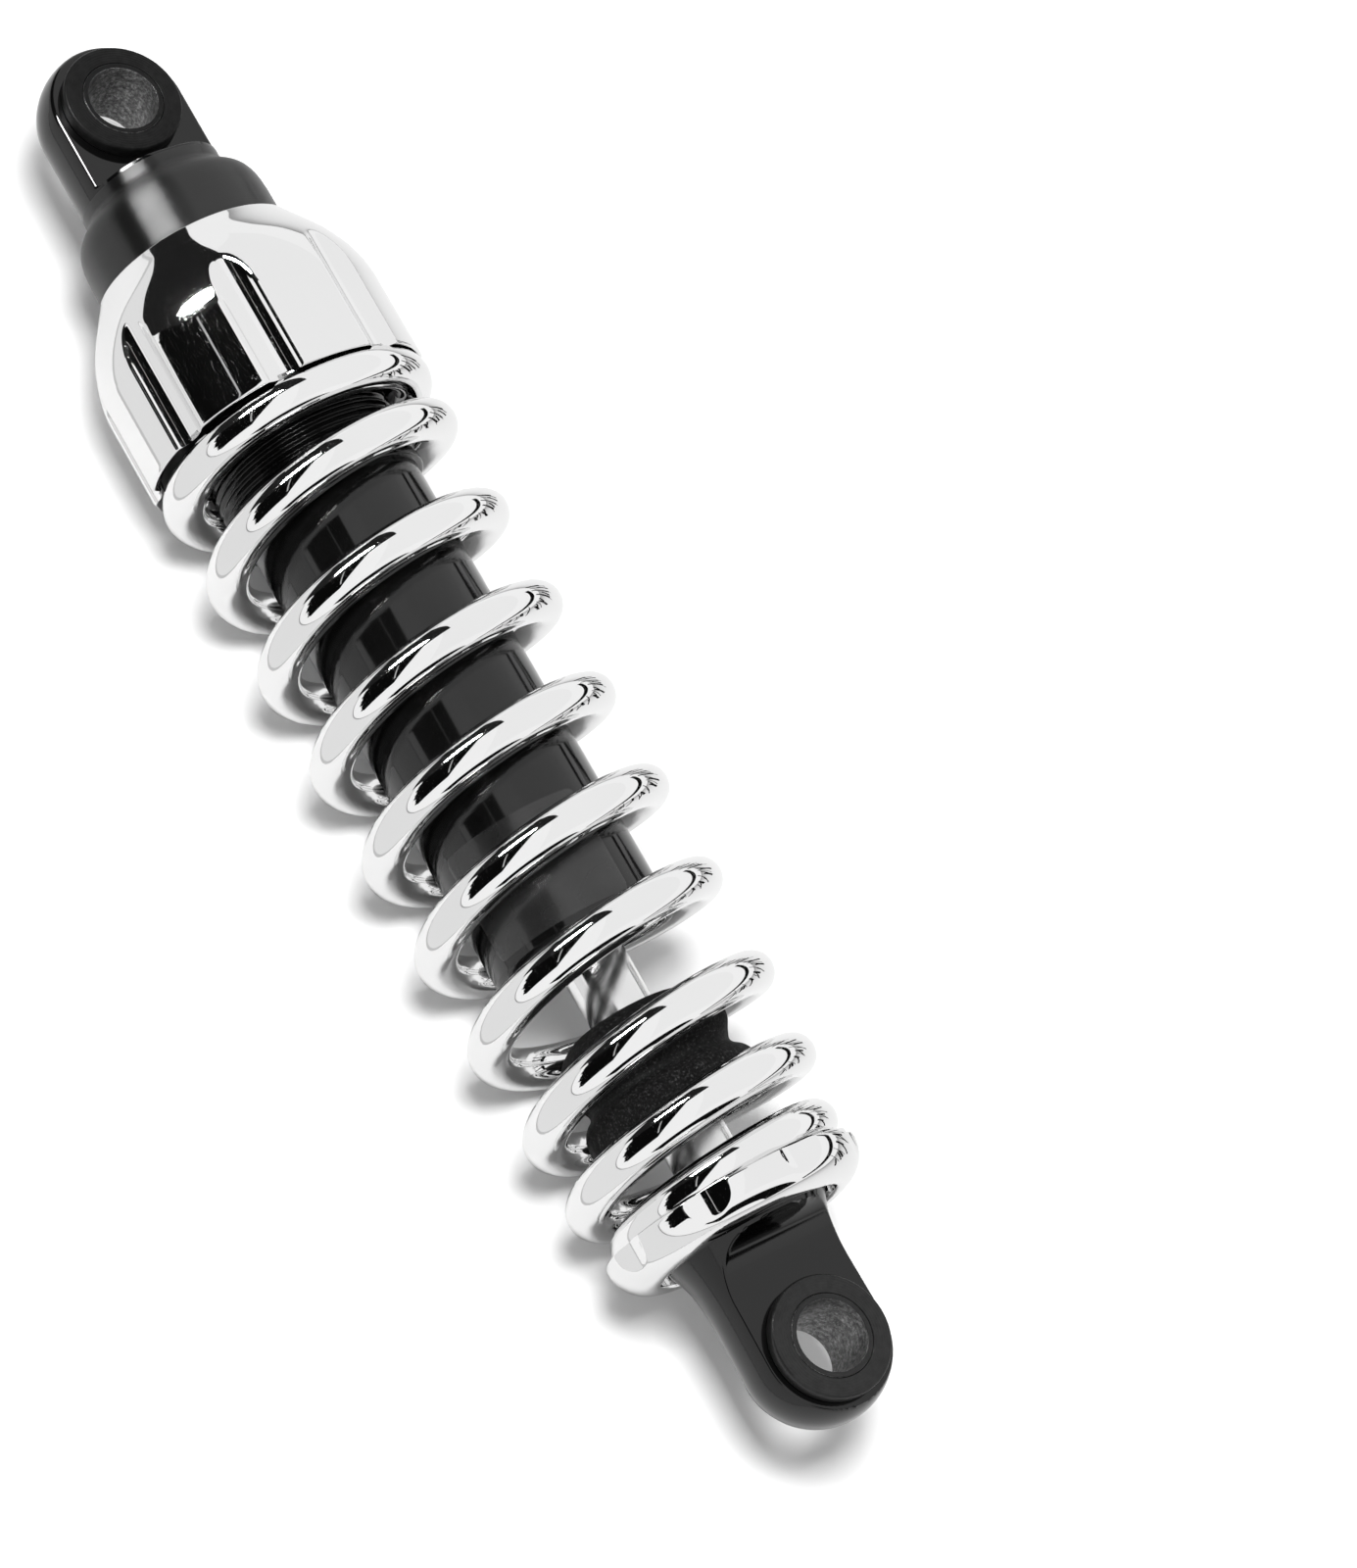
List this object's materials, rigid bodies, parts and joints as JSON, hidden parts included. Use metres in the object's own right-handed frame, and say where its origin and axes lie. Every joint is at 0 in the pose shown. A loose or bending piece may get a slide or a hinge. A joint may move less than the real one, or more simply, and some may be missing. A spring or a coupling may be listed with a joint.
{
  "type": "coil-over rear shock absorber",
  "caption": "Motorcycle rear shock absorber with an eye at each end, a chromed coil spring, a fluted preload cap, a black damper body and a rubber bump stop.",
  "frame": {"origin": "centre of the upper eye, on its bore axis and halfway through its thickness", "axes": "+X along the damper from the upper eye to the lower eye, +Z along both eye bores, +Y across; the part lies on its side with its bores upright"},
  "size_m": [0.3509, 0.0676, 0.0676],
  "materials": {
    "chrome_plate": "polished",
    "black_gloss_anodise": "gloss",
    "ground_steel": "ground",
    "black_rubber": "matte",
    "black_bushing": "satin",
    "nitrile_seal": "matte",
    "dark_ptfe": "satin",
    "plain_alloy": "machined",
    "dark_grey_label": "satin"
  },
  "bodies": {
    "damper_body": {"body_head": "black_gloss_anodise", "threaded_sleeve": "black_gloss_anodise", "sleeve_clip": "black_gloss_anodise", "body_tube": "black_gloss_anodise", "body_label": "dark_grey_label", "coil_spring": "chrome_plate", "upper_bush_front": "black_bushing", "upper_bush_back": "black_bushing", "rod_guide": "plain_alloy", "guide_o_ring": "nitrile_seal", "rod_seal": "nitrile_seal", "rod_wiper": "nitrile_seal", "guide_circlip": "ground_steel", "gas_valve": "ground_steel"},
    "upper_pin_sleeve": {"upper_sleeve": "ground_steel"},
    "spring_seat": {"spring_seat_ring": "dark_ptfe"},
    "adjuster": {"preload_adjuster": "chrome_plate"},
    "gas_piston_body": {"gas_piston": "plain_alloy", "gas_piston_seal": "nitrile_seal"},
    "piston_carrier": {"piston_band": "dark_ptfe"},
    "rod_assembly": {"piston_rod": "chrome_plate", "lower_eyelet": "black_gloss_anodise", "lower_perch": "chrome_plate", "lower_bush_front": "black_bushing", "lower_bush_back": "black_bushing", "rod_lock_nut": "ground_steel", "piston": "plain_alloy", "piston_nut": "ground_steel", "rebound_shims": "ground_steel", "compression_shims": "ground_steel", "shim_washer": "ground_steel", "top_out_bumper": "black_rubber"},
    "lower_pin_sleeve": {"lower_sleeve": "ground_steel"},
    "bump_stop_body": {"bump_stop": "black_rubber"}
  },
  "joints": [
    {"name": "upper_sleeve_pivot", "type": "hinge", "parent": "damper_body", "child": "upper_pin_sleeve", "pos_m": [0, 0, 0], "axis": [0, 0, 1], "range_deg": [-20, 20], "stiffness_Nm_per_rad": 3},
    {"name": "preload_travel", "type": "slide", "parent": "damper_body", "child": "spring_seat", "axis": [1, 0, 0], "range_m": [0, 0.0091], "deforming": ["coil_spring"]},
    {"name": "adjuster_turn", "type": "hinge", "parent": "spring_seat", "child": "adjuster", "pos_m": [0.06, 0, 0], "axis": [1, 0, 0], "range_deg": [0, 1620]},
    {"name": "damper_stroke", "type": "slide", "parent": "damper_body", "child": "piston_carrier", "axis": [-1, 0, 0], "range_m": [0, 0.035], "stiffness_N_per_m": 20000, "springref_m": -0.01, "deforming": ["coil_spring"]},
    {"name": "gas_piston_travel", "type": "slide", "parent": "damper_body", "child": "gas_piston_body", "axis": [-1, 0, 0], "range_m": [0, 0.0061]},
    {"name": "rod_swivel", "type": "hinge", "parent": "piston_carrier", "child": "rod_assembly", "pos_m": [0.25, 0, 0], "axis": [1, 0, 0], "continuous": true},
    {"name": "bump_stop_slide", "type": "slide", "parent": "rod_assembly", "child": "bump_stop_body", "axis": [1, 0, 0], "range_m": [0, 0.0176]},
    {"name": "lower_sleeve_pivot", "type": "hinge", "parent": "rod_assembly", "child": "lower_pin_sleeve", "pos_m": [0.3175, 0, 0], "axis": [0, 0, 1], "range_deg": [-20, 20], "stiffness_Nm_per_rad": 3}
  ],
  "couplings": [
    {"joint": "preload_travel", "follows": "adjuster_turn", "m_per_rad": 0.00031831},
    {"joint": "gas_piston_travel", "follows": "damper_stroke", "ratio": 0.17},
    {"joint": "bump_stop_slide", "follows": "damper_stroke", "ratio": 0.5}
  ]
}
